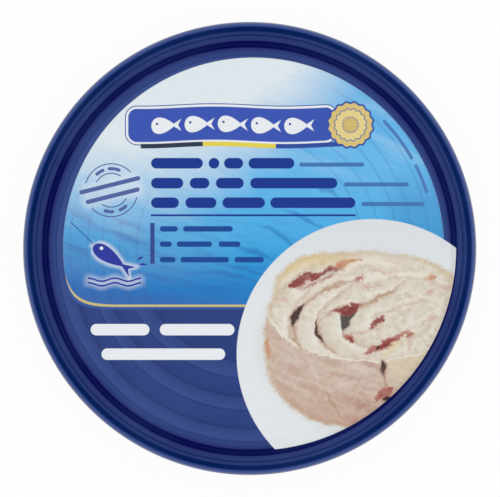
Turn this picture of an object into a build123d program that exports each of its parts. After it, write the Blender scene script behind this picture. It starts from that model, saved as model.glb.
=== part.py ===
"""A closed round tuna can that stands on its seamed end, with its drawn, printed end up.

The can is a drawn cup of tinplate: a straight wall, a rounded shoulder, a narrow rim land and a
recessed panel with three raised ring beads. A plain end is double-seamed onto its open side.
Millimetres, +Z up, origin on the axis in the plane that the seam stands on.
"""

from build123d import *
import os

# Overall sizes
can_height = 40.0
body_radius = 41.7

# Thickness of the two sheets
wall_sheet = 0.25
end_sheet = 0.25

# Rim of the drawn end, from the wall inwards
shoulder_radius = 2.8
land_inner_inset = 3.5
recess_slope_width = 1.5
recess_depth = 1.0
recess_edge_radius = 0.45

# Ring beads of the drawn end, from the outermost inwards
bead_inset = 1.2
bead_widths = [2.5, 2.65, 3.15]
bead_gaps = [3.2, 3.25]
bead_height = 0.08
bead_edge_width = 0.5

# Double seam
seam_height = 3.0
seam_overhang = 1.4
seam_foot_radius = 0.4
seam_top_radius = 0.9
wall_end_height = 0.7

# Panel of the seamed end: heights are measured up from the plane that the can stands on
countersink_height = 3.9
countersink_width = 1.1
end_panel_height = 3.0
end_panel_slope_width = 0.8
end_bead_inset = 5.0
end_bead_widths = [2.6, 2.6]
end_bead_gaps = [3.0]
end_bead_height = 0.35
end_bead_edge_width = 0.5

# Radii and levels that follow from the sizes above
seam_outer_radius = body_radius + seam_overhang
chuck_outer_radius = body_radius - wall_sheet
chuck_inner_radius = chuck_outer_radius - end_sheet
countersink_inner_radius = chuck_inner_radius - countersink_width
end_panel_radius = countersink_inner_radius - end_panel_slope_width
land_inner_radius = body_radius - land_inner_inset
panel_radius = land_inner_radius - recess_slope_width
panel_level = can_height - recess_depth


def ring_beads(outer_radius, widths, gaps, edge_width, floor, height):
    """Corners of raised rings with sloping edges, from the outermost foot to the innermost."""
    points = []
    for width, gap in zip(widths, [*gaps, 0]):
        inner_radius = outer_radius - width
        points += [
            (outer_radius + edge_width / 2, floor),
            (outer_radius - edge_width / 2, floor + height),
            (inner_radius + edge_width / 2, floor + height),
            (inner_radius - edge_width / 2, floor),
        ]
        outer_radius = inner_radius - gap
    return points


def drawn_panel_outline():
    """Top of the recessed panel, from its edge to the axis."""
    beads = ring_beads(
        panel_radius - bead_inset, bead_widths, bead_gaps, bead_edge_width,
        panel_level, bead_height,
    )
    return [(panel_radius, panel_level), *beads, (0, panel_level)]


def seamed_panel_outline(lift):
    """One face of the seamed end, from the chuck wall to the axis; lift is 0 or the sheet."""
    floor = end_panel_height + lift
    beads = ring_beads(
        end_panel_radius - end_bead_inset, end_bead_widths, end_bead_gaps, end_bead_edge_width,
        floor, end_bead_height,
    )
    return [
        (countersink_inner_radius, countersink_height + lift),
        (end_panel_radius, floor),
        *beads,
        (0, floor),
    ]


def corner_near(sketch, radius, height):
    """The corner of a profile that lies nearest to one radius and height."""
    return sketch.vertices().sort_by_distance((radius, height, 0))[0]


# Drawn body with its contents, solid down to the end that closes it
with BuildPart() as can_body:
    with BuildSketch(Plane.XZ) as body_profile:
        with BuildLine():
            Polyline(
                (body_radius, wall_end_height),
                (body_radius, can_height),
                (land_inner_radius, can_height),
                *drawn_panel_outline(),
                *reversed(seamed_panel_outline(end_sheet)),
                (chuck_outer_radius, countersink_height + end_sheet),
                (chuck_outer_radius, wall_end_height),
                close=True,
            )
        make_face()
        fillet(corner_near(body_profile, body_radius, can_height), shoulder_radius)
        fillet(corner_near(body_profile, land_inner_radius, can_height), recess_edge_radius)
        fillet(corner_near(body_profile, panel_radius, panel_level), recess_edge_radius)
    revolve(axis=Axis.Z)

can_body.part.label = "can_body"

# End sheet with its chuck wall, hooked round the body's wall in a double seam
with BuildPart() as seamed_end:
    with BuildSketch(Plane.XZ) as end_profile:
        with BuildLine():
            Polyline(
                (body_radius, wall_end_height),
                (body_radius, seam_height),
                (seam_outer_radius, seam_height),
                (seam_outer_radius, 0),
                (chuck_inner_radius, 0),
                (chuck_inner_radius, countersink_height),
                *seamed_panel_outline(0),
                *reversed(seamed_panel_outline(end_sheet)),
                (chuck_outer_radius, countersink_height + end_sheet),
                (chuck_outer_radius, wall_end_height),
                close=True,
            )
        make_face()
        fillet(corner_near(end_profile, seam_outer_radius, seam_height), seam_top_radius)
        fillet(corner_near(end_profile, seam_outer_radius, 0), seam_foot_radius)
        fillet(corner_near(end_profile, chuck_inner_radius, 0), seam_foot_radius)
    revolve(axis=Axis.Z)

seamed_end.part.label = "seamed_end"

os.makedirs("parts", exist_ok=True)
export_step(can_body.part, "parts/can_body.step")
export_step(seamed_end.part, "parts/seamed_end.step")
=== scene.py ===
"""Looks of a closed round tuna can that stands on its seamed end.

The body is a drawn cup of tinplate, lacquered navy and printed on its end with flat inks. A plain
end in pale gold lacquer is double-seamed onto its open side. Lengths are in millimetres until a
mesh is written, and radii are measured from the can's axis.
"""

import math

import bpy
import numpy as np
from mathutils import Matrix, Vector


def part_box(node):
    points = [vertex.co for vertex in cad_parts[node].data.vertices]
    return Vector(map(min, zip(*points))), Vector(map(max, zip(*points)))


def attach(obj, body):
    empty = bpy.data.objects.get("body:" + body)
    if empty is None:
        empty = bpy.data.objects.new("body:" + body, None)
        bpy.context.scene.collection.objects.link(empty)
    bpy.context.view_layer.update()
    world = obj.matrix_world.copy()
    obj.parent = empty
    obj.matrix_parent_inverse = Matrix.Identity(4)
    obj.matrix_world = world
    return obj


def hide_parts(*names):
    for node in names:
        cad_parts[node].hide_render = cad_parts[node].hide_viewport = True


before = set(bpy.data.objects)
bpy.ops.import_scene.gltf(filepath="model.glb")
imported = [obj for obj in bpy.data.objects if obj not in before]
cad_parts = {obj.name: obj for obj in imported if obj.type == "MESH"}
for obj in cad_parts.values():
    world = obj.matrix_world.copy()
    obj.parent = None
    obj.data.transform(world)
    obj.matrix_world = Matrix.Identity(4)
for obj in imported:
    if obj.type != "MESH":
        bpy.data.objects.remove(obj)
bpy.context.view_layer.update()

METRES = 0.001

# Outer sizes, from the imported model
body_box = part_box("can_body")
end_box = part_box("seamed_end")
can_height = body_box[1].z / METRES
wall_radius = body_box[1].x / METRES
seam_radius = end_box[1].x / METRES

# Drawn end: shoulder, rim groove, land, recess and ring beads
shoulder_radius = 2.8
groove_radius = 39.2
groove_width = 0.42
groove_depth = 0.1
recess_head_radius = 38.3
recess_foot_radius = 36.7
recess_depth = 1.0
bead_outer_radii = [35.5, 29.8, 23.9]
bead_widths = [2.5, 2.65, 3.15]
bead_height = 0.08
bead_edge_width = 0.5

# Seamed end and double seam
sheet = 0.25
seam_height = 3.0
seam_foot_radius = 0.4
seam_top_radius = 0.9
seam_throat_radius = 0.3
wall_end_height = 0.7
countersink_height = 3.9
countersink_width = 1.1
countersink_round = 0.3
end_panel_height = 3.0
end_panel_slope_width = 0.8
end_bead_outer_radii = [34.3, 28.7]
end_bead_widths = [2.6, 2.6]
end_bead_height = 0.35
end_bead_edge_width = 0.9

chuck_outer_radius = wall_radius - sheet
chuck_inner_radius = chuck_outer_radius - sheet
countersink_inner_radius = chuck_inner_radius - countersink_width
end_panel_radius = countersink_inner_radius - end_panel_slope_width

# Turned meshes: steps round the axis, and steps of the radius over flat metal, over the land and
# along a curve
turns = 320
flat_step = 1.6
land_step = 0.2
curve_step = 0.1

# A piece's map: a large and a small disc as (centre, radius), and a band as (low corner, size)
large_disc = ((0.41, 0.59), 0.405)
small_disc = ((0.91, 0.9), 0.085)
wall_band = ((0.0, 0.005), (1.0, 0.165))
seam_band = ((0.0, 0.005), (1.0, 0.14))


# ---------------------------------------------------------------- shapes

def smooth_step(x, start, end):
    """0 before start and 1 after end, level at both: 3 t^2 - 2 t^3 of the share t between them."""
    t = np.clip((x - start) / (end - start), 0, 1)
    return t * t * (3 - 2 * t)


def ring_beads(r, outer_radii, widths, edge_width, height):
    """Height of raised rings at radius r: a smooth step up at one foot, and down at the other."""
    rise = np.zeros_like(r)
    for outer, width in zip(outer_radii, widths):
        for foot, way in ((outer - width, 1), (outer, -1)):
            rise += way * height * smooth_step(r, foot - edge_width / 2, foot + edge_width / 2)
    return rise


def radii_between(start, end, step, edges=(), edge_width=0):
    """Radii every step from start to end, with nine more across each bead edge."""
    even = np.linspace(start, end, max(2, round(abs(end - start) / step) + 1))
    close = [np.linspace(edge - 0.6 * edge_width, edge + 0.6 * edge_width, 9) for edge in edges]
    radii = np.unique(np.round(np.concatenate([even, *close]), 4))
    return radii if end > start else radii[::-1]


def bead_edges(outer_radii, widths):
    """The radii of both feet of each bead."""
    return [edge for outer, width in zip(outer_radii, widths) for edge in (outer, outer - width)]


def arc(centre, radius, start, end, steps):
    """Points of an arc in the (r, z) plane: centre + radius (cos a, sin a), a from start to end."""
    a = np.radians(np.linspace(start, end, steps))
    return np.stack([centre[0] + radius * np.cos(a), centre[1] + radius * np.sin(a)], axis=1)


def line(start, end, steps):
    """Evenly spaced points of a straight stretch in the (r, z) plane."""
    return np.linspace(start, end, steps)


def drawn_end_profile():
    """Top of the can from the axis to the wall: the height at r is the recess floor with its beads,
    a smooth rise to the land, a cosine groove, and then the shoulder's quarter circle."""
    edges = bead_edges(bead_outer_radii, bead_widths)
    shoulder_start = wall_radius - shoulder_radius
    r = np.concatenate([
        radii_between(0, recess_foot_radius - curve_step, flat_step, edges, bead_edge_width),
        radii_between(recess_foot_radius, recess_head_radius, curve_step),
        radii_between(recess_head_radius + curve_step, shoulder_start, land_step),
    ])
    z = can_height - recess_depth * (1 - smooth_step(r, recess_foot_radius, recess_head_radius))
    z += ring_beads(r, bead_outer_radii, bead_widths, bead_edge_width, bead_height)
    flat = np.stack([r, z], axis=1)

    centre = (shoulder_start, can_height - shoulder_radius)
    shoulder = arc(centre, shoulder_radius, 90, 0, 72)[1:]
    across = np.clip((shoulder[:, 0] - groove_radius) / groove_width, -0.5, 0.5)
    shoulder[:, 1] -= groove_depth * np.cos(math.pi * across) ** 2
    return np.concatenate([flat, shoulder])


def seamed_end_panel(lift, inward):
    """One face of the seamed end, from the axis to its countersink, or inward from there. It is the
    beaded panel and a slope whose height is a smooth step of the radius."""
    edges = bead_edges(end_bead_outer_radii, end_bead_widths)
    r = np.concatenate([
        radii_between(0, end_panel_radius - 3 * curve_step, flat_step, edges, end_bead_edge_width),
        radii_between(end_panel_radius, countersink_inner_radius, curve_step),
    ])
    z = end_panel_height + lift + ring_beads(
        r, end_bead_outer_radii, end_bead_widths, end_bead_edge_width, end_bead_height,
    )
    rise = countersink_height - end_panel_height
    z += rise * smooth_step(r, end_panel_radius - curve_step, countersink_inner_radius)
    face = np.stack([r, z], axis=1)
    return face[::-1] if inward else face


def turn(name, profile, patches):
    """A closed solid of revolution. Point (i, j) is (r_i cos a_j, r_i sin a_j, z_i), where a_j is
    2 pi j / turns.

    profile runs from the axis over the outside and back to the axis. patches say how each stretch
    of it lies on the piece's map: (last point, "disc", centre, radius) is a round patch with the
    distance along the profile as its radius, and (last point, "strip", low corner, size) is a band.
    """
    rings = len(profile)
    a = 2 * math.pi * np.arange(turns) / turns
    r, z = profile[1:-1, 0, None], profile[1:-1, 1, None]
    grid = np.stack([r * np.cos(a), r * np.sin(a), z + 0 * a], axis=2).reshape(-1, 3)
    poles = [[0, 0, profile[0, 1]], [0, 0, profile[-1, 1]]]
    points = np.concatenate([grid, poles]) * METRES

    def corner(i, j):
        """Number of point (i, j), where every j of the first and last ring is the pole."""
        number = (i - 1) * turns + j % turns
        number = np.where(i == 0, len(grid), number)
        return np.where(i == rings - 1, len(grid) + 1, number)

    i, j = np.meshgrid(np.arange(rings - 1), np.arange(turns), indexing="ij")
    i, j = i.ravel(), j.ravel()
    corner_i = np.stack([i, i + 1, i + 1, i], axis=1)
    corner_j = np.stack([j, j, j + 1, j + 1], axis=1)
    faces = corner(corner_i, corner_j)
    keep = np.ones(faces.shape, bool)
    keep[i == 0, 3] = False
    keep[i == rings - 2, 2] = False

    along = np.concatenate([[0], np.cumsum(np.linalg.norm(np.diff(profile, axis=0), axis=1))])
    share = corner_j / turns
    uv = np.zeros((*faces.shape, 2))
    first = 0
    for last, kind, place, size in patches:
        here = (i >= first) & (i < last)
        s = along[corner_i[here]]
        if kind == "disc":
            low, high = sorted((along[first], along[last]))
            from_axis = s - low if first == 0 else high - s
            reach = size * from_axis / (high - low)
            angle = 2 * math.pi * share[here] * (1 if first == 0 else -1)
            uv[here, :, 0] = place[0] + reach * np.cos(angle)
            uv[here, :, 1] = place[1] + reach * np.sin(angle)
        else:
            uv[here, :, 0] = place[0] + size[0] * share[here]
            uv[here, :, 1] = place[1] + size[1] * (along[last] - s) / (along[last] - along[first])
        first = last

    mesh = bpy.data.meshes.new(name)
    mesh.from_pydata(points, [], [face[kept].tolist() for face, kept in zip(faces, keep)])
    mesh.uv_layers.new(name="OFBake").data.foreach_set("uv", uv[keep].astype(np.float32).ravel())
    mesh.shade_smooth()
    mesh.validate()
    piece = bpy.data.objects.new(name, mesh)
    bpy.context.scene.collection.objects.link(piece)
    return piece


def can_shell():
    """The drawn cup: its printed end, its wall, and the hidden side that meets the seamed end."""
    top = drawn_end_profile()
    wall = line((wall_radius, top[-1, 1]), (wall_radius, wall_end_height), 14)[1:]
    inside = np.concatenate([
        [(chuck_outer_radius, wall_end_height), (chuck_outer_radius, countersink_height + sheet)],
        seamed_end_panel(sheet, inward=True),
    ])
    profile = np.concatenate([top, wall, inside])
    top_end = len(top) - 1
    wall_end = top_end + len(wall)
    return turn("can_shell", profile, [
        (top_end, "disc", *large_disc),
        (wall_end, "strip", *wall_band),
        (len(profile) - 1, "disc", *small_disc),
    ])


def end_shell():
    """The end sheet: its hidden upper face, the double seam round the wall, and its underside."""
    upper = seamed_end_panel(sheet, inward=False)
    hook = np.array([
        (chuck_outer_radius, countersink_height + sheet),
        (chuck_outer_radius, wall_end_height),
        (wall_radius, wall_end_height),
        (wall_radius, seam_height - seam_throat_radius),
    ])
    throat = (wall_radius + seam_throat_radius, seam_height - seam_throat_radius)
    crown = (seam_radius - seam_top_radius, seam_height - seam_top_radius)
    outer_foot = (seam_radius - seam_foot_radius, seam_foot_radius)
    inner_foot = (chuck_inner_radius + seam_foot_radius, seam_foot_radius)
    seam = np.concatenate([
        arc(throat, seam_throat_radius, 180, 90, 6)[1:],
        arc(crown, seam_top_radius, 90, 0, 12),
        arc(outer_foot, seam_foot_radius, 0, -90, 8),
        arc(inner_foot, seam_foot_radius, -90, -180, 8),
    ])
    corner = (chuck_inner_radius - countersink_round, countersink_height - countersink_round)
    under = np.concatenate([
        arc(corner, countersink_round, 0, 90, 6),
        seamed_end_panel(0, inward=True),
    ])
    profile = np.concatenate([upper, hook, seam, under])
    upper_end = len(upper) + len(hook) - 1
    seam_end = upper_end + len(seam)
    return turn("end_shell", profile, [
        (upper_end, "disc", *small_disc),
        (seam_end, "strip", *seam_band),
        (len(profile) - 1, "disc", *large_disc),
    ])


# ---------------------------------------------------------------- finishes

def linear(hex_colour):
    """An sRGB hex colour as linear red, green, blue and alpha."""
    shares = [int(hex_colour[i:i + 2], 16) / 255 for i in (1, 3, 5)]
    return [s / 12.92 if s <= 0.04045 else ((s + 0.055) / 1.055) ** 2.4 for s in shares] + [1]


def add(tree, kind, inputs, out=None, **settings):
    """Adds a node with its settings, sets or links its inputs, and returns its first output in use,
    or the output that out names, or a list of them where out is a tuple of names.

    inputs is a list for the sockets in use, in order, or a dict by socket name.
    """
    node = tree.nodes.new("ShaderNode" + kind)
    for name, value in settings.items():
        setattr(node, name, value)
    if isinstance(inputs, dict):
        pairs = [(node.inputs[name], value) for name, value in inputs.items()]
    else:
        pairs = list(zip([s for s in node.inputs if not s.is_unavailable], inputs))
    for socket, value in pairs:
        if isinstance(value, bpy.types.NodeSocket):
            tree.links.new(value, socket)
        else:
            socket.default_value = value
    if isinstance(out, tuple):
        return [node.outputs[name] for name in out]
    live = [s for s in node.outputs if not s.is_unavailable]
    return node.outputs[out] if out else live[0]


def new_material(name):
    """An empty node material, its tree and its output's surface socket."""
    material = bpy.data.materials.new(name)
    material.use_nodes = True
    tree = material.node_tree
    tree.nodes.clear()
    surface = tree.nodes.new("ShaderNodeOutputMaterial").inputs["Surface"]
    return material, tree, surface


def mask_below(tree, distance, edge, soft=0.05):
    """1 where a distance is below an edge and 0 above it, with a soft border on both sides."""
    return add(tree, "MapRange", [distance, edge + soft, edge - soft, 0.0, 1.0])


def layer(tree, ground, ink, mask):
    """One printed layer: the ink where its mask is 1, the ground where it is 0."""
    return add(tree, "Mix", [mask, ground, ink], data_type="RGBA")


def turned(tree, place, centre, degrees, scale=(1.0, 1.0)):
    """A place measured from a centre along axes turned by some degrees, in units of a scale."""
    axes = [(*centre, 0.0), (0.0, 0.0, math.radians(degrees)), (*scale, 1.0)]
    return add(tree, "Mapping", [place, *axes], vector_type="TEXTURE")


def blend(tree, value, stops, out="Color"):
    """A colour, or its alpha, that follows a value: stops are (value, colour), and colours between
    two stops are mixed evenly."""
    low, high = stops[0][0], stops[-1][0]
    share = add(tree, "MapRange", [value, low, high, 0.0, 1.0])
    mixed = add(tree, "ValToRGB", [share], out=out)
    elements = mixed.node.color_ramp.elements
    for count, (at, rgba) in enumerate(stops):
        position = (at - low) / (high - low)
        element = elements[count] if count < 2 else elements.new(position)
        element.position = position
        element.color = rgba
    return mixed


def disc(tree, place, centre, radius, soft=0.05):
    """Mask of a disc."""
    away = add(tree, "VectorMath", [place, (*centre, 0.0)], operation="DISTANCE")
    return mask_below(tree, away, radius, soft)


def box_distance(tree, place, half_size, radius):
    """Distance to a box with round corners: how far |place| passes its straight part, less the
    corners' radius."""
    straight = (half_size[0] - radius, half_size[1] - radius, 1.0)
    size = add(tree, "VectorMath", [place], operation="ABSOLUTE")
    past = add(tree, "VectorMath", [size, straight], operation="SUBTRACT")
    past = add(tree, "VectorMath", [past, (0.0, 0.0, 0.0)], operation="MAXIMUM")
    away = add(tree, "VectorMath", [past], operation="LENGTH", out="Value")
    return add(tree, "Math", [away, radius], operation="SUBTRACT")


def bar(tree, place, start, end, thickness):
    """Mask of a straight bar with round ends, from one point to another."""
    middle = [(a + b) / 2 for a, b in zip(start, end)]
    length = math.dist(start, end)
    degrees = math.degrees(math.atan2(end[1] - start[1], end[0] - start[0]))
    local = turned(tree, place, middle, degrees)
    half_size = (length / 2 + thickness / 2, thickness / 2)
    return mask_below(tree, box_distance(tree, local, half_size, thickness / 2), 0.0)


def leaf(tree, place, start, end, width, bow=0.0):
    """Distance to a leaf shape between two points: |v - bow k| - width k / 2 with k = 1 - u^2. Here
    u runs from -1 to 1 along the leaf and v is the distance across it. bow bends it to its left."""
    middle = [(a + b) / 2 for a, b in zip(start, end)]
    half = math.dist(start, end) / 2
    way = [(b - a) / (2 * half) for a, b in zip(start, end)]
    off = add(tree, "VectorMath", [place, (*middle, 0.0)], operation="SUBTRACT")
    u = add(tree, "VectorMath", [off, (way[0] / half, way[1] / half, 0.0)], operation="DOT_PRODUCT")
    v = add(tree, "VectorMath", [off, (-way[1], way[0], 0.0)], operation="DOT_PRODUCT")
    square = add(tree, "Math", [u, u], operation="MULTIPLY")
    k = add(tree, "Math", [1.0, square], operation="SUBTRACT")
    bent = add(tree, "Math", [k, -bow, v], operation="MULTIPLY_ADD")
    bent = add(tree, "Math", [bent], operation="ABSOLUTE")
    return add(tree, "Math", [k, -width / 2, bent], operation="MULTIPLY_ADD")


def dashes(tree, along, across, height, spans):
    """Mask of a row of dashes with round ends. A blend's alpha holds the distance to the nearest
    span along the row, which rises from 0 at the span's ends to the middle of each gap."""
    half = height / 2
    ends = [(start + half, end - half) for start, end in spans]
    stops = [(ends[0][0] - height, height), (ends[0][0], 0.0), (ends[0][1], 0.0)]
    for (_, before), (start, end) in zip(ends, ends[1:]):
        stops += [((before + start) / 2, (start - before) / 2), (start, 0.0), (end, 0.0)]
    stops.append((ends[-1][1] + height, height))
    reach = max(value for _, value in stops)
    shares = [(at, (0.0, 0.0, 0.0, value / reach)) for at, value in stops]
    gap = add(tree, "Math", [blend(tree, along, shares, "Alpha"), reach], operation="MULTIPLY")
    away = add(tree, "CombineXYZ", [gap, across, 0.0])
    away = add(tree, "VectorMath", [away], operation="LENGTH", out="Value")
    return mask_below(tree, away, half)


def row(tree, place, level, height, spans):
    """Dashes in a straight row at one level of the print."""
    x, y = add(tree, "SeparateXYZ", [place], out=("X", "Y"))
    across = add(tree, "Math", [y, level], operation="SUBTRACT")
    return dashes(tree, x, across, height, spans)


def streaks(tree, place, degrees, length, width, detail=2.0, distortion=0.0):
    """Noise between 0 and 1, drawn out along one direction: each grain has a length and a width."""
    local = turned(tree, place, (0.0, 0.0), degrees, (length, width))
    return add(tree, "TexNoise", {
        "Vector": local, "Scale": 1.0, "Detail": detail, "Distortion": distortion,
    }, out="Fac")


def fish(tree, place, centre, degrees, length, height, tail_half):
    """Distance to a plain fish, nose to the left. Its body reaches 2.6 sqrt(s) (1 - s) of half its
    height from its middle line, where s runs from 0 at the nose to 1 in the tail. The tail lies
    between two sides |v| = slope (u - root) and a fork u = notch + spread |v|, which meet at its
    tips."""
    root, notch, tip = 0.18 * length, 0.39 * length, 0.5 * length
    local = turned(tree, place, centre, degrees)
    u, v = add(tree, "SeparateXYZ", [local], out=("X", "Y"))
    v = add(tree, "Math", [v], operation="ABSOLUTE")

    s = add(tree, "Math", [u, 1 / (0.8 * length), 0.5 / 0.8], operation="MULTIPLY_ADD")
    blunt = add(tree, "Math", [s], operation="SQRT")
    rest = add(tree, "Math", [1.0, s], operation="SUBTRACT")
    reach = add(tree, "Math", [blunt, rest], operation="MULTIPLY")
    body = add(tree, "Math", [reach, -1.3 * height, v], operation="MULTIPLY_ADD")
    before_nose = add(tree, "Math", [s, -0.8 * length], operation="MULTIPLY")
    body = add(tree, "Math", [body, before_nose], operation="MAXIMUM")

    slope = tail_half / (tip - root)
    sides = add(tree, "Math", [u, -slope, v], operation="MULTIPLY_ADD")
    sides = add(tree, "Math", [sides, slope * root], operation="ADD")
    fork = add(tree, "Math", [v, -(tip - notch) / tail_half, u], operation="MULTIPLY_ADD")
    fork = add(tree, "Math", [fork, notch], operation="SUBTRACT")
    tail = add(tree, "Math", [sides, fork], operation="MAXIMUM")
    past_tips = add(tree, "Math", [u, tip], operation="SUBTRACT")
    tail = add(tree, "Math", [tail, past_tips], operation="MAXIMUM")
    return add(tree, "Math", [body, tail], operation="MINIMUM")


# The print, in millimetres from the can's axis, with x to the right and y to its top
print_centre = (0.71, 0.08)
sea_radius = 34.95
sea_floor_level = -10.3
plate_centre = (22.5, -19.5)
plate_radius = 24.9
plate_cut_radius = 37.15

navy_ink = linear("#04318E")
pale_ink = linear("#3F74B2")
small_text_ink = linear("#084595")
post_ink = linear("#31468E")
edge_text_ink = linear("#4C7AB8")
seal_ink = linear("#4F62A0")
sign_ink = linear("#26339C")
white_ink = linear("#E8ECF0")
yellow_ink = linear("#CCBF78")

# The two lines under the sea: how far each reaches past it at its widest, and its ink
sea_lines = [(2.1, linear("#33559E")), (1.0, yellow_ink)]

# Ribbon: how far each ink reaches past it. Rosette: radius of each ink
ribbon_layers = [(0.6, "#2F55A2"), (0.42, "#E8ECF0"), (0.0, "#3552B2")]
rosette_layers = [(4.3, "#2C4F9E"), (3.95, "#D8C079"), (3.0, "#5A6FA0"), (2.8, "#E4D08C"),
                  (1.5, "#6B7AA0"), (1.32, "#D2B86E")]

# Stripe under the ribbon: both ends and the ink of each part
stripe_parts = [(-20.0, -8.6, "#25354D"), (-8.6, 4.8, "#E2D04F"), (4.8, 17.0, "#2A4A9E")]

# Dark strokes in the water: both ends, width and bow of each
water_strokes = [
    ((2.3, 4.1), (8.6, 0.2), 1.0, 0.35),
    ((6.4, 6.9), (14.0, 3.4), 0.8, 0.2),
    ((9.4, 12.9), (16.4, 9.2), 1.1, 0.3),
    ((-3.0, 0.5), (4.2, -2.0), 0.9, 0.3),
    ((-5.0, -2.9), (2.6, -5.2), 0.8, 0.4),
    ((-12.4, -4.3), (1.6, -5.8), 0.9, 0.5),
    ((-13.2, -6.4), (-0.4, -7.6), 0.8, -0.4),
    ((-9.6, -8.4), (-2.0, -9.4), 0.7, 0.3),
    ((-34.4, 7.4), (-27.6, 4.0), 1.2, 0.3),
    ((-26.2, 5.7), (-18.2, 2.4), 1.1, 0.4),
    ((-26.8, 3.4), (-18.8, 0.4), 1.0, 0.3),
    ((-34.0, 1.2), (-29.0, -1.9), 1.1, 0.2),
    ((-21.0, -4.2), (-13.4, -6.6), 1.0, 0.3),
    ((-33.2, -3.4), (-27.6, -8.2), 0.9, 0.2),
]


def sea_colour(tree, place, painted_step_shade):
    """Sea and sky: pale at the top left, clear blue across the middle and deep at the bottom, with
    long soft streaks of wind in the sky, and ripples and dark strokes in the water. Painted shade
    in the steps of the rings darkens these clear inks a little."""
    x, y = add(tree, "SeparateXYZ", [place], out=("X", "Y"))
    left = add(tree, "Math", [x, 4.0], operation="ADD")
    left = add(tree, "Math", [left, 0.0], operation="MINIMUM")
    depth = add(tree, "Math", [left, 0.15, y], operation="MULTIPLY_ADD")
    water = blend(tree, depth, [
        (-13.5, linear("#3A67AE")),
        (-11.0, linear("#2A6DB8")),
        (-9.0, linear("#1A7AC4")),
        (-7.0, linear("#1880C9")),
        (-4.5, linear("#218FD1")),
        (-1.5, linear("#2F9CDA")),
        (1.5, linear("#43AAE3")),
        (5.0, linear("#4CAEE5")),
        (9.0, linear("#5AB3EA")),
        (16.0, linear("#66B8EB")),
        (24.0, linear("#64B4E8")),
    ])
    ripple = streaks(tree, place, -12.0, 7.0, 1.0, 3.0, 0.8)
    ripple = add(tree, "MapRange", [ripple, 0.48, 0.64, 0.0, 0.4])
    shallow = add(tree, "MapRange", [depth, 8.0, -3.0, 0.1, 1.0])
    ripple = add(tree, "Math", [ripple, shallow], operation="MULTIPLY")
    water = layer(tree, water, linear("#2468B0"), ripple)

    drift = add(tree, "TexNoise", {"Vector": place, "Scale": 0.35, "Detail": 2.0}, out="Color")
    drift = add(tree, "VectorMath", [drift, (0.5, 0.5, 0.5)], operation="SUBTRACT")
    drift = add(tree, "VectorMath", [drift, (1.6, 1.6, 0.0), place], operation="MULTIPLY_ADD")
    for start, end, width, bow in water_strokes:
        stroke = leaf(tree, drift, start, end, width, bow)
        stroke = add(tree, "MapRange", [stroke, 0.3, -0.3, 0.0, 0.55])
        water = layer(tree, water, linear("#1C6CB6"), stroke)

    # Painted shade in the steps of the rings, laid over the clear inks
    painted_step_shade_share = add(tree, "Math", [painted_step_shade, 0.25], operation="MULTIPLY")
    water = layer(tree, water, linear("#1C4F9E"), painted_step_shade_share)
    pale = add(tree, "MapRange", [x, 0.0, -14.0, 0.0, 0.09])
    above = add(tree, "MapRange", [y, -7.5, -3.0, 0.0, 1.0])
    pale = add(tree, "Math", [pale, above], operation="MULTIPLY")
    water = layer(tree, water, linear("#C9CDD0"), pale)
    dim = add(tree, "MapRange", [x, 23.5, 28.5, 0.0, 0.4])
    below = add(tree, "MapRange", [y, 15.0, 9.0, 0.0, 1.0])
    dim = add(tree, "Math", [dim, below], operation="MULTIPLY")
    water = layer(tree, water, linear("#3C80BE"), dim)

    slope = add(tree, "Math", [x, -0.013, -0.62], operation="MULTIPLY_ADD")
    sky = add(tree, "Math", [slope, x, y], operation="MULTIPLY_ADD")
    wind = streaks(tree, place, -24.0, 18.0, 2.4, 4.0, 0.5)
    gust = add(tree, "MapRange", [wind, 0.3, 0.7, -1.8, 1.8])
    sky = add(tree, "Math", [sky, gust], operation="ADD")
    haze = add(tree, "MapRange", [sky, 9.0, 27.6, 0.0, 1.0])
    haze = add(tree, "Math", [haze, 1.2], operation="POWER")
    wisp = add(tree, "MapRange", [wind, 0.5, 0.66, 0.0, 0.15])
    high = add(tree, "MapRange", [y, 9.0, 18.0, 0.0, 1.0])
    wisp = add(tree, "Math", [wisp, high], operation="MULTIPLY")
    haze = add(tree, "Math", [haze, wisp], operation="MAXIMUM")
    return layer(tree, water, linear("#DFE8ED"), haze)


def sea_print(tree, place, ground, painted_step_shade):
    """The sea field with a rounded lower corner, and two lines that taper along its lower edge."""
    corner_round = 9.0
    y = add(tree, "SeparateXYZ", [place], out="Y")
    round_edge = add(tree, "VectorMath", [place, (*print_centre, 0.0)], operation="DISTANCE")
    round_edge = add(tree, "Math", [round_edge, sea_radius], operation="SUBTRACT")
    floor_edge = add(tree, "Math", [sea_floor_level, y], operation="SUBTRACT")
    edge = add(tree, "Math", [round_edge, floor_edge, corner_round], operation="SMOOTH_MAX")
    taper = add(tree, "MapRange", [y, -4.5, -10.2, 0.0, 0.42])
    for reach, ink in sea_lines:
        away = add(tree, "Math", [taper, -reach, edge], operation="MULTIPLY_ADD")
        ground = layer(tree, ground, ink, mask_below(tree, away, 0.0))
    field = mask_below(tree, edge, 0.0)
    widest = sea_lines[0][0]
    inked = add(tree, "Math", [taper, -widest, edge], operation="MULTIPLY_ADD")
    inked = mask_below(tree, inked, 0.0)
    return layer(tree, ground, sea_colour(tree, place, painted_step_shade), field), inked


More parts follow.
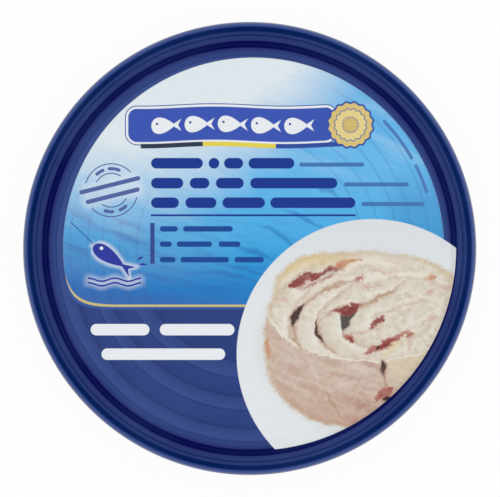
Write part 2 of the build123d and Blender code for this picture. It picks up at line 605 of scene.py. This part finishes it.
def banner_print(tree, place, ground):
    """A plain blue ribbon with a white and a navy outline, a row of white fish on it, a stripe of
    navy and yellow under it, and a gold rosette over its right end."""
    swell_height, swell_rate = 0.22, 0.24
    x = add(tree, "SeparateXYZ", [place], out="X")
    swell = add(tree, "Math", [x, swell_rate], operation="MULTIPLY")
    swell = add(tree, "Math", [swell], operation="SINE")
    rise = (0.0, swell_height, 0.0)
    local = add(tree, "CombineXYZ", [0.0, swell, 0.0])
    local = add(tree, "VectorMath", [local, rise, place], operation="MULTIPLY_ADD")
    ribbon = turned(tree, local, (-3.4, 22.8), 0.0)
    ribbon = box_distance(tree, ribbon, (18.9, 3.05), 1.6)
    for reach, ink in ribbon_layers:
        ground = layer(tree, ground, linear(ink), mask_below(tree, ribbon, reach))
    stripe_level, stripe_half_height = 19.0, 0.42
    for start, end, ink in stripe_parts:
        stripe = turned(tree, local, ((start + end) / 2, stripe_level), 0.0)
        stripe = box_distance(tree, stripe, ((end - start) / 2, stripe_half_height), 0.05)
        ground = layer(tree, ground, linear(ink), mask_below(tree, stripe, 0.0))

    first_fish, pitch, fish_level = -15.3, 6.1, 22.7
    for number in range(5):
        centre = (first_fish + pitch * number, fish_level)
        shape = fish(tree, local, centre, 0.0, 5.5, 3.0, 1.1)
        eye = (centre[0] - 1.7, centre[1] + 0.35)
        ground = layer(tree, ground, white_ink, mask_below(tree, shape, 0.0))
        ground = layer(tree, ground, navy_ink, disc(tree, local, eye, 0.22))

    centre = (18.5, 22.7)
    lobes, lobe_height = 16, 0.14
    from_centre = turned(tree, place, centre, 0.0)
    from_x, from_y = add(tree, "SeparateXYZ", [from_centre], out=("X", "Y"))
    angle = add(tree, "Math", [from_y, from_x], operation="ARCTAN2")
    angle = add(tree, "Math", [angle, float(lobes)], operation="MULTIPLY")
    scallop = add(tree, "Math", [angle], operation="COSINE")
    away = add(tree, "VectorMath", [place, (*centre, 0.0)], operation="DISTANCE")
    away = add(tree, "Math", [scallop, lobe_height, away], operation="MULTIPLY_ADD")
    for radius, ink in rosette_layers:
        ground = layer(tree, ground, linear(ink), mask_below(tree, away, radius))
    return ground


def text_places(tree, place, ground):
    """Plain dashes where a pack has its words: three bold rows with a pale dash after each, a rule
    and a bar, three small rows, and a row that follows the edge of the sea."""
    # Level of each row, both ends of each of its words, and both ends of the pale dash after them
    bold_rows = [
        (15.65, [(-18.1, -8.6), (-7.5, -5.6), (-4.7, -1.2), (-0.2, 8.2)], (9.1, 21.0)),
        (12.0, [(-18.1, -12.2), (-11.0, -7.4), (-6.2, -1.1), (0.1, 16.1)], (17.3, 29.2)),
        (8.4, [(-18.1, -13.0), (-11.8, -6.1), (-5.0, 2.8), (3.8, 19.4)], (20.5, 32.0)),
    ]
    for level, words, pale_word in bold_rows:
        ground = layer(tree, ground, navy_ink, row(tree, place, level, 1.95, words))
        ground = layer(tree, ground, pale_ink, row(tree, place, level - 0.25, 0.75, [pale_word]))
    small_rows = [
        (3.6, [(-16.5, -13.2), (-12.2, -3.1)]),
        (0.8, [(-16.5, -14.3), (-13.4, -6.9), (-5.7, -1.7)]),
        (-2.05, [(-16.5, -13.6), (-12.7, -3.8), (-2.8, 2.6)]),
    ]
    for level, words in small_rows:
        ground = layer(tree, ground, small_text_ink, row(tree, place, level, 1.0, words))
    ground = layer(tree, ground, navy_ink, bar(tree, place, (-18.0, 6.1), (19.3, 6.1), 0.36))
    post = turned(tree, place, (-17.85, 0.95), 0.0)
    post = box_distance(tree, post, (0.4, 3.75), 0.05)
    ground = layer(tree, ground, post_ink, mask_below(tree, post, 0.0))

    from_centre = turned(tree, place, print_centre, 0.0)
    from_x, from_y = add(tree, "SeparateXYZ", [from_centre], out=("X", "Y"))
    edge_radius = 33.4
    words_degrees = [(17.5, 27.3), (29.2, 44.5)]
    angle = add(tree, "Math", [from_y, from_x], operation="ARCTAN2")
    along = add(tree, "Math", [angle, edge_radius], operation="MULTIPLY")
    away = add(tree, "VectorMath", [place, (*print_centre, 0.0)], operation="DISTANCE")
    across = add(tree, "Math", [away, edge_radius], operation="SUBTRACT")
    spans = [[edge_radius * math.radians(a) for a in pair] for pair in words_degrees]
    return layer(tree, ground, edge_text_ink, dashes(tree, along, across, 0.6, spans))


def title_print(tree, place, ground):
    """Two rows of white dashes on the navy, where the name of the food stands."""
    letter_height = 2.1
    upper = row(tree, place, -14.9, letter_height, [(-29.2, -18.4), (-16.5, -2.8)])
    lower = row(tree, place, -19.4, letter_height, [(-27.2, -4.5)])
    mask = add(tree, "Math", [upper, lower], operation="MAXIMUM")
    return layer(tree, ground, white_ink, mask), mask


def seal_print(tree, place, ground):
    """A thin double ring with short curved dashes in it, open where two slanted dashes cross it."""
    centre = (-25.4, 10.7)
    # Radius of each ring, and how far its opening reaches from the middle
    rings = [(4.85, 2.35), (3.1, 2.1)]
    straight_rows = [(0.95, [(-5.8, 5.7)]), (-1.05, [(-5.1, 5.1)])]
    # Direction of the middle of each curved row, and both ends of its dashes along the arc
    curved_radius = 3.95
    curved_rows = [(104.0, [(-2.7, -0.3), (0.3, 2.2)]), (-76.0, [(-2.4, -0.4), (0.4, 2.2)])]

    local = turned(tree, place, centre, 14.0)
    v = add(tree, "SeparateXYZ", [local], out="Y")
    v_size = add(tree, "Math", [v], operation="ABSOLUTE")
    away = add(tree, "VectorMath", [place, (*centre, 0.0)], operation="DISTANCE")
    glow = box_distance(tree, local, (5.4, 2.2), 1.0)
    glow = add(tree, "MapRange", [glow, 0.9, -0.6, 0.0, 0.4])
    ground = layer(tree, ground, white_ink, glow)
    for radius, opening in rings:
        off_ring = add(tree, "Math", [away, radius, 0.1], operation="COMPARE")
        outside = add(tree, "Math", [v_size, opening], operation="GREATER_THAN")
        ring = add(tree, "Math", [off_ring, outside], operation="MULTIPLY")
        ground = layer(tree, ground, seal_ink, ring)
    for level, words in straight_rows:
        ground = layer(tree, ground, seal_ink, row(tree, local, level, 0.8, words))
    across = add(tree, "Math", [away, curved_radius], operation="SUBTRACT")
    for towards, spans in curved_rows:
        local = turned(tree, place, centre, towards)
        u, v = add(tree, "SeparateXYZ", [local], out=("X", "Y"))
        along = add(tree, "Math", [v, u], operation="ARCTAN2")
        along = add(tree, "Math", [along, curved_radius], operation="MULTIPLY")
        ground = layer(tree, ground, seal_ink, dashes(tree, along, across, 0.6, spans))
    return ground


def catch_print(tree, place, ground):
    """A plain sign for line fishing: a fish on a thin line over two waves, in a pale glow."""
    drops = [((-20.6, -2.3), (-19.5, -1.5)), ((-20.4, -3.1), (-18.9, -3.0))]
    shape = fish(tree, place, (-25.1, -1.9), -34.0, 8.6, 2.7, 1.1)
    glow = add(tree, "MapRange", [shape, 1.0, 0.0, 0.0, 0.6], interpolation_type="SMOOTHSTEP")
    ground = layer(tree, ground, white_ink, glow)
    for start, end in drops:
        drop = leaf(tree, place, start, end, 0.4, 0.15)
        ground = layer(tree, ground, sign_ink, mask_below(tree, drop, 0.0))
    ground = layer(tree, ground, sign_ink, mask_below(tree, shape, 0.0))
    ground = layer(tree, ground, white_ink, disc(tree, place, (-27.2, 0.05), 0.32))
    ground = layer(tree, ground, navy_ink, bar(tree, place, (-32.8, 4.8), (-28.7, 0.9), 0.15))

    # The waves: |level| is the distance to the middle between the two lines
    wavelength, wave_height, wave_level, wave_middle = 4.87, 0.28, -6.15, -24.85
    line_offset, line_half_width = 0.42, 0.16
    x, y = add(tree, "SeparateXYZ", [place], out=("X", "Y"))
    phase = add(tree, "Math", [x, 2 * math.pi / wavelength, 0.5], operation="MULTIPLY_ADD")
    crest = add(tree, "Math", [phase], operation="COSINE")
    level = add(tree, "Math", [crest, -wave_height, y], operation="MULTIPLY_ADD")
    level = add(tree, "Math", [level, -wave_level], operation="ADD")
    size = add(tree, "Math", [level], operation="ABSOLUTE")
    span = add(tree, "Math", [x, -wave_middle], operation="ADD")
    span = add(tree, "Math", [span], operation="ABSOLUTE")
    ends = mask_below(tree, span, 4.9)
    halo = add(tree, "MapRange", [size, 1.7, 0.2, 0.0, 0.5], interpolation_type="SMOOTHSTEP")
    soft_ends = add(tree, "MapRange", [span, 6.2, 4.2, 0.0, 1.0], interpolation_type="SMOOTHSTEP")
    halo = add(tree, "Math", [halo, soft_ends], operation="MULTIPLY")
    ground = layer(tree, ground, white_ink, halo)
    lines = add(tree, "Math", [size, line_offset, line_half_width], operation="COMPARE")
    lines = add(tree, "Math", [lines, ends], operation="MULTIPLY")
    return layer(tree, ground, sign_ink, lines)


# Marks in the tuna: both ends, width, bow and kind of each leaf shape, in the order of printing
tuna_marks = [
    ((3.6, -5.6), (20.6, -2.2), 2.4, 1.9, "crust"),
    ((16.0, -1.4), (34.0, -4.0), 1.5, 0.8, "light"),
    ((7.2, -7.0), (13.8, -4.6), 2.5, -0.1, "wine"),
    ((8.8, -7.3), (12.2, -5.7), 0.9, 0.0, "red"),
    ((11.0, -6.1), (18.0, -2.9), 1.8, -0.1, "wine"),
    ((15.0, -3.6), (20.6, -2.1), 1.2, 0.1, "orange"),
    ((7.4, -8.6), (12.2, -6.0), 0.8, 0.3, "ridge"),
    ((11.6, -6.4), (16.6, -4.4), 0.9, 0.3, "ridge"),
    ((15.4, -5.4), (22.0, -2.6), 1.2, 0.6, "ridge"),
    ((20.8, -2.9), (27.4, -3.4), 1.0, 0.5, "ridge"),
    ((19.4, -6.6), (26.6, -5.0), 1.0, 0.3, "ridge"),
    ((27.0, -4.6), (33.6, -5.6), 0.8, 0.3, "ridge"),
    ((19.2, -6.9), (24.6, -6.6), 0.5, -0.4, "pink"),
    ((22.6, -4.1), (27.6, -4.0), 0.5, -0.3, "pink"),
    ((9.3, -11.6), (20.4, -6.3), 0.5, 1.7, "brown"),
    ((8.8, -11.0), (19.6, -5.7), 0.5, 1.9, "ridge"),
    ((13.4, -13.0), (20.6, -10.4), 0.5, 0.9, "brown"),
    ((20.0, -10.7), (27.6, -6.7), 0.6, -0.3, "brown"),
    ((13.0, -12.2), (20.4, -9.7), 0.4, 0.9, "ridge"),
    ((20.0, -9.9), (27.4, -6.0), 0.5, -0.3, "ridge"),
    ((8.0, -14.0), (9.6, -18.6), 0.45, -0.3, "brown"),
    ((13.5, -17.2), (15.9, -19.3), 0.4, -0.3, "brown"),
    ((9.9, -10.3), (7.8, -14.6), 1.1, -0.5, "gap"),
    ((12.5, -13.1), (13.6, -17.2), 0.6, -0.75, "gap"),
    ((19.9, -10.6), (17.1, -15.2), 2.1, -0.78, "hollow"),
    ((15.3, -11.7), (20.3, -10.2), 1.7, -0.45, "wine"),
    ((17.0, -15.3), (19.2, -17.0), 0.9, -0.2, "red"),
    ((18.0, -16.3), (19.2, -17.0), 0.5, -0.1, "wine"),
    ((18.4, -15.0), (27.6, -11.6), 0.45, 0.2, "ridge"),
    ((18.8, -15.6), (23.4, -14.6), 0.6, -0.2, "pink"),
    ((22.2, -14.4), (24.9, -12.6), 0.9, 0.1, "wine"),
    ((20.9, -19.1), (24.6, -18.2), 1.1, 0.1, "red"),
    ((23.4, -18.3), (28.8, -15.4), 1.0, -0.2, "red"),
    ((23.7, -18.4), (26.9, -16.7), 0.9, -0.1, "wine"),
    ((22.7, -18.7), (24.0, -18.0), 0.6, 0.0, "gap"),
    ((24.2, -20.0), (28.2, -17.2), 0.9, 0.2, "crust"),
    ((29.5, -15.8), (29.1, -19.0), 0.5, 0.2, "pink"),
    ((28.5, -15.9), (30.2, -15.5), 0.9, 0.0, "red"),
    ((24.1, -20.3), (25.0, -23.8), 0.85, 0.0, "gap"),
    ((24.7, -23.2), (25.2, -27.2), 0.45, 0.1, "brown"),
    ((22.9, -27.8), (26.6, -25.7), 1.5, 0.2, "red"),
    ((19.4, -29.7), (22.4, -28.0), 1.4, 0.1, "stain"),
    ((24.6, -27.9), (26.0, -27.2), 0.7, 0.0, "gap"),
    ((13.6, -25.7), (17.6, -31.8), 0.55, -0.3, "brown"),
    ((12.8, -24.9), (20.3, -20.6), 0.4, 0.4, "pink"),
    ((10.7, -20.2), (13.0, -25.0), 0.7, 0.1, "light"),
    ((14.6, -26.0), (21.6, -24.2), 0.6, 0.2, "light"),
    ((15.6, -22.0), (22.6, -22.4), 0.7, 0.2, "light"),
    ((6.2, -17.6), (9.4, -21.0), 0.9, 0.2, "light"),
    ((3.0, -16.2), (3.5, -19.9), 0.95, 0.0, "orange"),
    ((3.6, -9.0), (7.0, -9.7), 0.6, 0.1, "pink"),
    ((19.6, -5.9), (20.7, -4.9), 0.6, 0.0, "red"),
    ((32.4, -5.6), (34.2, -5.3), 0.7, 0.1, "orange"),
    ((35.2, -7.4), (37.4, -6.7), 1.0, 0.1, "pink"),
    ((32.0, -8.6), (34.4, -7.6), 0.6, 0.1, "pink"),
    ((26.4, -10.8), (32.6, -8.8), 0.5, 0.4, "ridge"),
    ((26.2, -11.5), (32.4, -9.6), 0.4, 0.3, "pink"),
    ((31.6, -13.7), (35.4, -12.5), 0.5, 0.2, "pink"),
    ((27.6, -14.2), (35.0, -10.8), 0.5, -0.4, "ridge"),
]

# Ink, border width, strength, and the ink and width of the stain round each kind of mark
mark_looks = {
    "crust": ("#DAC592", 0.7, 0.8, None, 0),
    "red": ("#9A4640", 0.2, 0.85, "#C48B7C", 0.4),
    "wine": ("#7E2A2C", 0.15, 0.95, "#B86A60", 0.35),
    "pink": ("#C99A87", 0.3, 0.7, None, 0),
    "stain": ("#A9796C", 0.6, 0.7, None, 0),
    "orange": ("#C27F58", 0.25, 0.85, "#D0A88C", 0.4),
    "brown": ("#AE8973", 0.16, 0.85, "#CBB4A0", 0.5),
    "ridge": ("#EBE5D8", 0.25, 0.75, None, 0),
    "light": ("#DDD2C4", 0.4, 0.6, None, 0),
    "gap": ("#3B302D", 0.1, 0.95, "#9C5B50", 0.38),
    "hollow": ("#46413F", 0.15, 0.95, None, 0),
}

# Inks of the tuna's side by its cross streaks, of its top by its lumps, and of one layer of the top
# by the share of its width
side_inks = [(0.34, "#BEA194"), (0.5, "#C9B3A4"), (0.66, "#D2C1B2")]
top_inks = [(0.3, "#C4B09A"), (0.42, "#D3C8B7"), (0.52, "#DAD4C5"), (0.66, "#E4DFD2")]
layer_inks = [(0.0, "#B89C86"), (0.07, "#D3C3B0"), (0.16, "#EFEBE2"), (0.45, "#DDD6C8"),
              (0.85, "#CDBDAA"), (1.0, "#B89C86")]


def tuna_print(tree, place, ground):
    """A round of tuna in simple shapes: a pinkish side, a paler top of flakes that lie in layers
    round its middle with dark gaps between them, and a yellow crust at the back, all with borders
    roughened by noise. The layers are ovals round one centre, each shaded by the share of its width
    from a light lip to a darker foot."""
    coarse = add(tree, "TexNoise", {"Vector": place, "Scale": 0.5, "Detail": 2.0}, out="Color")
    coarse = add(tree, "VectorMath", [coarse, (0.5, 0.5, 0.5)], operation="SUBTRACT")
    calm = add(tree, "VectorMath", [coarse, (1.6, 1.6, 0.0), place], operation="MULTIPLY_ADD")
    fine = add(tree, "TexNoise", {"Vector": place, "Scale": 1.7, "Detail": 3.0}, out="Color")
    fine = add(tree, "VectorMath", [fine, (0.5, 0.5, 0.5)], operation="SUBTRACT")
    rough = add(tree, "VectorMath", [fine, (1.2, 1.2, 0.0), calm], operation="MULTIPLY_ADD")

    outline = turned(tree, rough, (22.3, -16.9), -2.5, (19.6, 16.3))
    outline = add(tree, "VectorMath", [outline], operation="ABSOLUTE")
    outline = add(tree, "VectorMath", [outline, (2.5, 2.5, 1.0)], operation="POWER")
    both_ways = (1.0, 1.0, 0.0)
    outline = add(tree, "VectorMath", [outline, both_ways], operation="DOT_PRODUCT", out="Value")
    shoulder = turned(tree, rough, (13.0, -8.0), 0.0, (8.6, 7.0))
    shoulder = add(tree, "VectorMath", [shoulder], operation="LENGTH", out="Value")
    outline = add(tree, "Math", [outline, shoulder], operation="MINIMUM")
    face = turned(tree, rough, (21.9, -9.9), 0.0, (19.2, 10.9))
    face = add(tree, "VectorMath", [face], operation="LENGTH", out="Value")

    cross = streaks(tree, rough, -20.0, 6.0, 1.3, 2.0)
    side = blend(tree, cross, [(at, linear(ink)) for at, ink in side_inks])
    fibre = streaks(tree, rough, 62.0, 5.0, 0.5, 3.0)
    fibre = add(tree, "MapRange", [fibre, 0.5, 0.7, 0.0, 0.45])
    side = layer(tree, side, linear("#DACDBF"), fibre)
    x, y = add(tree, "SeparateXYZ", [place], out=("X", "Y"))
    low = add(tree, "MapRange", [y, -25.0, -33.0, 0.0, 0.6])
    side = layer(tree, side, linear("#B98C7B"), low)
    far = add(tree, "MapRange", [x, 23.5, 26.5, 0.0, 1.0])
    lit = add(tree, "MapRange", [y, -25.0, -20.0, 0.2, 0.7])
    far = add(tree, "Math", [far, lit], operation="MULTIPLY")
    side = layer(tree, side, linear("#DDD3B2"), far)

    lumps = add(tree, "TexNoise", {
        "Vector": rough, "Scale": 0.9, "Detail": 5.0, "Roughness": 0.62,
    }, out="Fac")
    top = blend(tree, lumps, [(at, linear(ink)) for at, ink in top_inks])
    layer_width = 5.1
    whorl = turned(tree, rough, (25.5, -13.2), 8.0, (1.0, 0.6))
    whorl = add(tree, "VectorMath", [whorl], operation="LENGTH", out="Value")
    share = add(tree, "Math", [whorl, 1 / layer_width, 0.42], operation="MULTIPLY_ADD")
    share = add(tree, "Math", [share], operation="FRACT")
    shade = blend(tree, share, [(at, linear(ink)) for at, ink in layer_inks])
    breaks = add(tree, "TexNoise", {"Vector": rough, "Scale": 0.16, "Detail": 2.0}, out="Fac")
    strength = add(tree, "MapRange", [breaks, 0.38, 0.6, 0.15, 0.6])
    rightward = add(tree, "MapRange", [x, 20.0, 33.0, 1.0, 0.35])
    strength = add(tree, "Math", [strength, rightward], operation="MULTIPLY")
    top = layer(tree, top, shade, strength)

    crust = add(tree, "MapRange", [face, 0.8, 0.98, 0.0, 0.7], interpolation_type="SMOOTHSTEP")
    upper = add(tree, "MapRange", [y, -11.0, -5.0, 0.0, 1.0])
    crust = add(tree, "Math", [crust, upper], operation="MULTIPLY")
    top = layer(tree, top, linear("#D9C79B"), crust)
    meat = layer(tree, side, top, mask_below(tree, face, 1.0, 0.02))
    lip = add(tree, "Math", [face, 0.985, 0.013], operation="COMPARE")
    meat = layer(tree, meat, linear("#E5DED1"), lip)

    patchy = add(tree, "MapRange", [lumps, 0.35, 0.6, 1.0, 0.72])
    for start, end, width, bow, kind in tuna_marks:
        ink, soft, full, stain_ink, stain_width = mark_looks[kind]
        deep = kind in ("gap", "hollow")
        mark = leaf(tree, calm if deep else rough, start, end, width, bow)
        if stain_ink:
            stain = add(tree, "MapRange", [mark, stain_width, 0.0, 0.0, 0.6])
            meat = layer(tree, meat, linear(stain_ink), stain)
        mask = add(tree, "MapRange", [mark, soft, -soft, 0.0, full])
        if not deep:
            mask = add(tree, "Math", [mask, patchy], operation="MULTIPLY")
        meat = layer(tree, meat, linear(ink), mask)

    rim = add(tree, "MapRange", [outline, 0.84, 1.0, 0.0, 0.55])
    meat = layer(tree, meat, linear("#C3A67A"), rim)
    return layer(tree, ground, meat, mask_below(tree, outline, 1.0, 0.06))


def plate_print(tree, place, ground):
    """A white plate cut by the rim, and the round of tuna on it."""
    disc_mask = disc(tree, place, plate_centre, plate_radius)
    cut = disc(tree, place, print_centre, plate_cut_radius)
    mask = add(tree, "Math", [disc_mask, cut], operation="MULTIPLY")
    y = add(tree, "SeparateXYZ", [place], out="Y")
    plate = blend(tree, y, [
        (-36.0, linear("#E2E7EA")),
        (-12.0, linear("#E1E6E9")),
        (4.0, linear("#DADFE3")),
    ])
    away = turned(tree, place, (22.0, -17.4), 0.0, (21.4, 18.0))
    away = add(tree, "VectorMath", [away], operation="LENGTH", out="Value")
    shade = add(tree, "MapRange", [away, 1.04, 0.86, 0.0, 0.35], interpolation_type="SMOOTHSTEP")
    plate = layer(tree, plate, linear("#C9C2B8"), shade)
    served = tuna_print(tree, place, plate)
    return layer(tree, ground, served, mask), mask


# Navy lacquer by distance from the axis, with painted highlight and shade: (how far past a bead's
# foot or outer edge, colour, strength of the painted shade in that step), then the recess wall,
# the land, the shoulder and the wall as (radius, ...)
foot_lacquer_and_painted_light = [(-0.3, "#153987", 0.0), (0.0, "#002978", 1.0), (0.3, "#22428E", 0.0)]
outer_lacquer_and_painted_light = [(-0.3, "#324F9B", 0.0), (0.0, "#06307F", 0.8), (0.3, "#204190", 0.0)]
# Painted shade makes the recess wall darkest, and a painted reflection lightens the shoulder
rim_lacquer_and_painted_light = [(36.3, "#123685", 0.0), (36.9, "#00106E", 0.0), (38.1, "#00106E", 0.0),
               (38.4, "#022A76", 0.0), (40.55, "#022D7A", 0.0), (40.85, "#053E95", 0.0)]


def lacquer(tree, from_axis):
    """Navy lacquer that follows the pressed shape, with its light and shade painted in: a painted
    highlight over each raised ring, painted shade in the step at each of its edges, darkest on the
    recess wall, and a lighter band on the shoulder as a painted reflection of the floor. Also gives
    how strong the painted step shade is at a place."""
    stops = [(0.0, "#284895", 0.0)]
    for outer, width in sorted(zip(bead_outer_radii, bead_widths)):
        for edge, looks in ((outer - width, foot_lacquer_and_painted_light), (outer, outer_lacquer_and_painted_light)):
            stops += [(edge + past, *look) for past, *look in looks]
    stops += rim_lacquer_and_painted_light
    stops = [(at, linear(ink)[:3] + [painted_step_shade]) for at, ink, painted_step_shade in stops]
    colour = blend(tree, from_axis, stops)
    return colour, colour.node.outputs["Alpha"]


def body_finish():
    """Body: navy lacquer with enough pigment to hide half of the tinplate's shine, so it mirrors
    softly in deep blue. It lies thinner and paler in soft clouds. The inks printed over it are
    flatter and duller, and a faint orange peel ripples every reflection."""
    material, tree, surface = new_material("navy_lacquered_tinplate")
    metres = add(tree, "TexCoord", {}, out="Object")
    solid_place = add(tree, "VectorMath", [metres, (1 / METRES,) * 3], operation="MULTIPLY")

    # Only the upper half carries the print: below it every place is moved far past the print's edge
    height = add(tree, "SeparateXYZ", [solid_place], out="Z")
    below = add(tree, "Math", [height, can_height / 2], operation="LESS_THAN")
    far = 500.0
    aside = add(tree, "CombineXYZ", [below, 0.0, 0.0])
    aside = add(tree, "VectorMath", [aside, (far, 0.0, 0.0)], operation="MULTIPLY")
    place = add(tree, "VectorMath", [solid_place, (1.0, 1.0, 0.0), aside], operation="MULTIPLY_ADD")

    drift_size = 15.0
    drift = add(tree, "TexNoise", {
        "Vector": solid_place, "Scale": 1 / drift_size, "Detail": 2.0,
    }, out="Fac")
    thin = add(tree, "MapRange", [drift, 0.4, 0.65, 0.0, 0.12])
    from_axis = add(tree, "VectorMath", [place], operation="LENGTH", out="Value")
    # The lacquer's colour holds painted highlight and shade of the rings, the recess and the
    # shoulder
    ground, painted_step_shade = lacquer(tree, from_axis)
    ground = layer(tree, ground, linear("#3F5FA6"), thin)
    ground, sea_mask = sea_print(tree, place, ground, painted_step_shade)
    ground = banner_print(tree, place, ground)
    ground = text_places(tree, place, ground)
    ground = seal_print(tree, place, ground)
    ground = catch_print(tree, place, ground)
    ground, title_mask = title_print(tree, place, ground)
    ground, plate_mask = plate_print(tree, place, ground)
    inked = add(tree, "Math", [sea_mask, title_mask], operation="MAXIMUM")
    inked = add(tree, "Math", [inked, plate_mask], operation="MAXIMUM")

    peel_size, peel_depth = 1.5, 0.004
    peel = add(tree, "TexNoise", {
        "Vector": solid_place, "Scale": 1 / peel_size, "Detail": 1.0,
    }, out="Fac")
    ripple = add(tree, "Bump", {"Strength": 1.0, "Distance": peel_depth * METRES, "Height": peel})
    roughness = add(tree, "MapRange", [inked, 0.0, 1.0, 0.2, 0.42])
    metallic = add(tree, "MapRange", [inked, 0.0, 1.0, 0.5, 0.0])
    gloss = add(tree, "MapRange", [inked, 0.0, 1.0, 1.0, 0.35])
    shader = add(tree, "BsdfPrincipled", {
        "Base Color": ground,
        "Metallic": metallic,
        "Roughness": roughness,
        "Normal": ripple,
        "Specular IOR Level": 0.15,
        "Coat Weight": gloss,
        "Coat Roughness": 0.05,
    })
    tree.links.new(shader, surface)
    return material


def end_finish():
    """Seamed end: rolled tinplate under clear pale gold lacquer. Fine rolling lines stretch its
    reflections a little, and the gold deepens in soft bands where more lacquer lies."""
    material, tree, surface = new_material("gold_lacquered_tinplate")
    metres = add(tree, "TexCoord", {}, out="Object")
    place = add(tree, "VectorMath", [metres, (1 / METRES,) * 3], operation="MULTIPLY")

    # The rolling lines are drawn coarser than real ones, so that they show
    line_length, line_width, line_depth = 14.0, 0.2, 0.002
    grain = streaks(tree, place, 0.0, line_length, line_width, 3.0)
    roughness = add(tree, "MapRange", [grain, 0.35, 0.65, 0.24, 0.36])
    relief = add(tree, "Bump", {"Strength": 1.0, "Distance": line_depth * METRES, "Height": grain})
    drift_size = 12.0
    drift = add(tree, "TexNoise", {
        "Vector": place, "Scale": 1 / drift_size, "Detail": 3.0,
    }, out="Fac")
    colour = blend(tree, drift, [
        (0.35, linear("#D6CFBB")),
        (0.5, linear("#D2C9B1")),
        (0.65, linear("#CCC0A0")),
    ])
    shader = add(tree, "BsdfPrincipled", {
        "Base Color": colour,
        "Metallic": 1.0,
        "Roughness": roughness,
        "Normal": relief,
    })
    tree.links.new(shader, surface)
    return material


# ---------------------------------------------------------------- camera, floor and light

camera_height = 800.0
view_width = 92.0
sensor_width = 36.0
view_offset = (0.06, 0.0)
floor_radius = 3000.0
floor_sides = 96
floor_drop = 0.02

lamp_size = 2400.0
lamp_height = 1600.0
lamp_watts = 10.6


def camera():
    """Looks straight down the can's axis from far enough that the wall hides the seam."""
    widest = can_height - shoulder_radius
    data = bpy.data.cameras.new("camera")
    data.sensor_width = sensor_width
    data.lens = sensor_width * (camera_height + can_height - widest) / view_width
    data.clip_start = 0.01
    data.clip_end = 100
    view = bpy.data.objects.new("camera", data)
    place = (view_offset[0], view_offset[1], can_height + camera_height)
    view.location = [METRES * value for value in place]
    bpy.context.scene.collection.objects.link(view)
    bpy.context.scene.camera = view


def floor():
    """A round white floor. The camera and reflections see it lit from within, and the rest of its
    white is lit by the lamp, so a soft shadow stays."""
    a = 2 * math.pi * np.arange(floor_sides) / floor_sides
    rim = floor_radius * METRES * np.stack([np.cos(a), np.sin(a), 0 * a], axis=1)
    rim[:, 2] = -floor_drop * METRES
    mesh = bpy.data.meshes.new("floor")
    mesh.from_pydata(rim, [], [list(range(floor_sides))])
    piece = bpy.data.objects.new("floor", mesh)
    bpy.context.scene.collection.objects.link(piece)

    material, tree, surface = new_material("white_floor")
    metres = add(tree, "TexCoord", {}, out="Object")
    away = add(tree, "VectorMath", [metres], operation="LENGTH", out="Value")
    shade = add(tree, "MapRange", [away, 0.06, 0.3, 0.9, 1.0])
    paint = add(tree, "BsdfDiffuse", {"Color": linear("#F2F2F2")})
    ray = add(tree, "LightPath", {}).node
    for seen, level in (("Is Glossy Ray", 0.6), ("Is Camera Ray", 1.02)):
        glow = add(tree, "Emission", {"Color": linear("#FFFFFF"), "Strength": level})
        share = add(tree, "Math", [ray.outputs[seen], shade], operation="MULTIPLY")
        paint = add(tree, "MixShader", [share, paint, glow])
    tree.links.new(paint, surface)
    mesh.materials.append(material)


def studio():
    """Surroundings: for reflections, a pale ceiling overhead, a dark room round it and a pale line
    of the far table at the horizon. The camera sees white, and one big soft lamp gives the shadow
    and the colours' plain level."""
    world = bpy.data.worlds.new("studio")
    bpy.context.scene.world = world
    world.use_nodes = True
    tree = world.node_tree
    tree.nodes.clear()
    direction = add(tree, "TexCoord", {}, out="Generated")
    up = add(tree, "SeparateXYZ", [direction], out="Z")
    ceiling = add(tree, "MapRange", [up, 0.72, 0.79, 0.035, 0.5], interpolation_type="SMOOTHSTEP")
    horizon = add(tree, "MapRange", [up, 0.16, 0.04, 0.0, 0.4], interpolation_type="SMOOTHSTEP")
    ceiling = add(tree, "Math", [ceiling, horizon], operation="MAXIMUM")
    ray = add(tree, "LightPath", {}).node
    level = add(tree, "Mix", [ray.outputs["Is Diffuse Ray"], ceiling, 0.72], data_type="FLOAT")
    level = add(tree, "Mix", [ray.outputs["Is Camera Ray"], level, 1.0], data_type="FLOAT")
    glow = add(tree, "Background", {"Color": linear("#FFFFFF"), "Strength": level})
    surface = tree.nodes.new("ShaderNodeOutputWorld").inputs["Surface"]
    tree.links.new(glow, surface)

    lamp_data = bpy.data.lights.new("overhead_lamp", "AREA")
    lamp_data.shape = "DISK"
    lamp_data.size = lamp_size * METRES
    lamp_data.energy = lamp_watts
    lamp = bpy.data.objects.new("overhead_lamp", lamp_data)
    lamp.location = (0, 0, lamp_height * METRES)
    lamp.visible_glossy = False
    lamp.visible_camera = False
    bpy.context.scene.collection.objects.link(lamp)


# ---------------------------------------------------------------- assembly

def finish_piece(piece, material, node):
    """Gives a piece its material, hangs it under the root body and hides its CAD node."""
    piece.data.materials.append(material)
    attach(piece, "root")
    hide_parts(node)


bpy.context.scene.view_settings.view_transform = "Standard"
camera()
floor()
studio()
finish_piece(can_shell(), body_finish(), "can_body")
finish_piece(end_shell(), end_finish(), "seamed_end")
